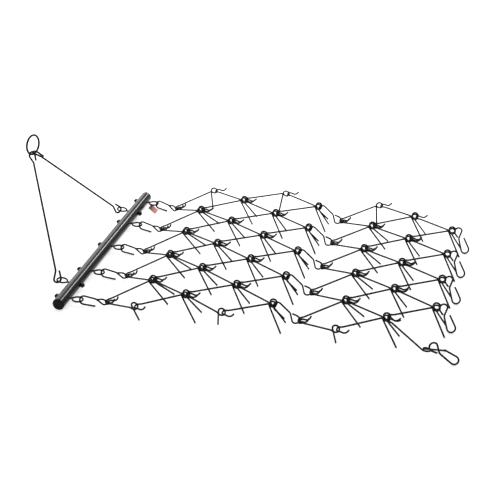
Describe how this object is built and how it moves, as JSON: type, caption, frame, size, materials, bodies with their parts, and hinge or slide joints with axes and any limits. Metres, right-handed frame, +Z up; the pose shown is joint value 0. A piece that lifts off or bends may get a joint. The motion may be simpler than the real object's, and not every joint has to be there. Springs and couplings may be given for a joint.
{
  "type": "chain harrow",
  "caption": "Tine-link chain harrow: round drawbar with eye bolts, tow V with ring, S hooks and a hinged net of bent-rod links with coil eyes and tines.",
  "frame": {"origin": "on the floor under the middle of the whole harrow, as it lies ready to pull with the tow V raised", "axes": "+X from the drawbar to the rear of the net, +Y to the left of the direction of pull, +Z up"},
  "size_m": [1.9762, 1.2606, 0.5307],
  "materials": {
    "rod_paint": "thin satin black paint on bent round bar",
    "bar_paint": "smooth satin black paint on round tube"
  },
  "bodies": {
    "drawbar": {"drawbar_tube": "bar_paint", "rear_eye_bolt_1": "rod_paint", "rear_eye_bolt_2": "rod_paint", "rear_eye_bolt_3": "rod_paint", "rear_eye_bolt_4": "rod_paint", "rear_eye_bolt_5": "rod_paint", "front_eye_bolt_1": "rod_paint", "front_eye_bolt_2": "rod_paint"},
    "tow_v": {"tow_rod_1": "rod_paint", "tow_rod_2": "rod_paint"},
    "tow_ring": {"tow_ring": "rod_paint"},
    "front_hooks": {"front_s_hook_1": "rod_paint", "front_s_hook_2": "rod_paint", "front_s_hook_3": "rod_paint", "front_s_hook_4": "rod_paint", "front_s_hook_5": "rod_paint"},
    "link_row_a": {"tine_links_a1": "rod_paint", "tine_links_a2": "rod_paint", "tine_links_a3": "rod_paint", "tine_links_a4": "rod_paint", "tine_links_a5": "rod_paint"},
    "link_row_b": {"tine_links_b1": "rod_paint", "tine_links_b2": "rod_paint", "tine_links_b3": "rod_paint", "tine_links_b4": "rod_paint", "tine_links_b5": "rod_paint"},
    "link_row_c": {"tine_links_c1": "rod_paint", "tine_links_c2": "rod_paint", "tine_links_c3": "rod_paint", "tine_links_c4": "rod_paint", "tine_links_c5": "rod_paint"},
    "link_row_d": {"tine_links_d1": "rod_paint", "tine_links_d2": "rod_paint", "tine_links_d3": "rod_paint", "tine_links_d4": "rod_paint", "tine_links_d5": "rod_paint"},
    "middle_hooks": {"middle_s_hook_1": "rod_paint", "middle_s_hook_2": "rod_paint", "middle_s_hook_3": "rod_paint", "middle_s_hook_4": "rod_paint", "middle_s_hook_5": "rod_paint"},
    "link_row_f": {"tine_links_f1": "rod_paint", "tine_links_f2": "rod_paint", "tine_links_f3": "rod_paint", "tine_links_f4": "rod_paint", "tine_links_f5": "rod_paint"},
    "link_row_g": {"tine_links_g1": "rod_paint", "tine_links_g2": "rod_paint", "tine_links_g3": "rod_paint", "tine_links_g4": "rod_paint", "tine_links_g5": "rod_paint"},
    "link_row_h": {"tine_links_h2": "rod_paint", "tine_links_h3": "rod_paint", "tine_links_h4": "rod_paint"},
    "corner_link": {"tine_link_h5": "rod_paint"},
    "rear_hook_1": {"rear_s_hook_1": "rod_paint"},
    "rear_hook_2": {"rear_s_hook_2": "rod_paint"},
    "rear_hook_3": {"rear_s_hook_3": "rod_paint"},
    "rear_hook_4": {"rear_s_hook_4": "rod_paint"},
    "rear_hook_5": {"rear_s_hook_5": "rod_paint"}
  },
  "joints": [
    {"name": "tow_v_lift", "type": "hinge", "parent": "drawbar", "child": "tow_v", "pos_m": [-0.72168, 0.01565, 0.03532], "axis": [0, 1, 0], "range_deg": [-40, 50]},
    {"name": "tow_ring_swing", "type": "hinge", "parent": "tow_v", "child": "tow_ring", "pos_m": [-0.96837, 0.01565, 0.43999], "axis": [0.2419, 0.9703, 0], "range_deg": [-40, 40]},
    {"name": "front_hook_swing", "type": "hinge", "parent": "drawbar", "child": "front_hooks", "pos_m": [-0.57195, 0.01565, 0.0189], "axis": [0, -1, 0], "range_deg": [-25, 25]},
    {"name": "row_a_fold", "type": "hinge", "parent": "front_hooks", "child": "link_row_a", "pos_m": [-0.47177, -0.00035, 0.023], "axis": [0, 1, 0], "range_deg": [-30, 30]},
    {"name": "row_b_fold", "type": "hinge", "parent": "link_row_a", "child": "link_row_b", "pos_m": [-0.30396, -0.00035, 0.0881], "axis": [0, -1, 0], "range_deg": [-50, 50]},
    {"name": "row_c_fold", "type": "hinge", "parent": "link_row_b", "child": "link_row_c", "pos_m": [-0.12476, -0.00035, 0.10511], "axis": [0, 1, 0], "range_deg": [-50, 50]},
    {"name": "row_d_fold", "type": "hinge", "parent": "link_row_c", "child": "link_row_d", "pos_m": [0.0552, -0.00035, 0.1085], "axis": [0, -1, 0], "range_deg": [-50, 50]},
    {"name": "middle_hook_swing", "type": "hinge", "parent": "link_row_d", "child": "middle_hooks", "pos_m": [0.2352, -0.00035, 0.10913], "axis": [0, 1, 0], "range_deg": [-12, 30]},
    {"name": "row_f_fold", "type": "hinge", "parent": "middle_hooks", "child": "link_row_f", "pos_m": [0.33393, -0.00035, 0.043], "axis": [0, -1, 0], "range_deg": [-50, 50]},
    {"name": "row_g_fold", "type": "hinge", "parent": "link_row_f", "child": "link_row_g", "pos_m": [0.50656, -0.00035, 0.09398], "axis": [0, 1, 0], "range_deg": [-50, 50]},
    {"name": "row_h_fold", "type": "hinge", "parent": "link_row_g", "child": "link_row_h", "pos_m": [0.68614, -0.00035, 0.10634], "axis": [0, -1, 0], "range_deg": [-20, 50]},
    {"name": "corner_link_swing", "type": "hinge", "parent": "link_row_g", "child": "corner_link", "pos_m": [0.68614, -0.48835, 0.10634], "axis": [0, -1, 0], "range_deg": [-40, 20]},
    {"name": "rear_hook_1_swing", "type": "hinge", "parent": "link_row_h", "child": "rear_hook_1", "pos_m": [0.86612, 0.36565, 0.10873], "axis": [0, -1, 0], "range_deg": [-25, 40]},
    {"name": "rear_hook_2_swing", "type": "hinge", "parent": "link_row_h", "child": "rear_hook_2", "pos_m": [0.86612, 0.12165, 0.10873], "axis": [0, -1, 0], "range_deg": [-25, 40]},
    {"name": "rear_hook_3_swing", "type": "hinge", "parent": "link_row_h", "child": "rear_hook_3", "pos_m": [0.86612, -0.12235, 0.10873], "axis": [0, -1, 0], "range_deg": [-25, 40]},
    {"name": "rear_hook_4_swing", "type": "hinge", "parent": "link_row_h", "child": "rear_hook_4", "pos_m": [0.86612, -0.36635, 0.10873], "axis": [0, -1, 0], "range_deg": [-25, 40]},
    {"name": "rear_hook_5_swing", "type": "hinge", "parent": "corner_link", "child": "rear_hook_5", "pos_m": [0.85642, -0.60502, 0.05172], "axis": [0, -1, 0], "range_deg": [-30, 30]}
  ]
}
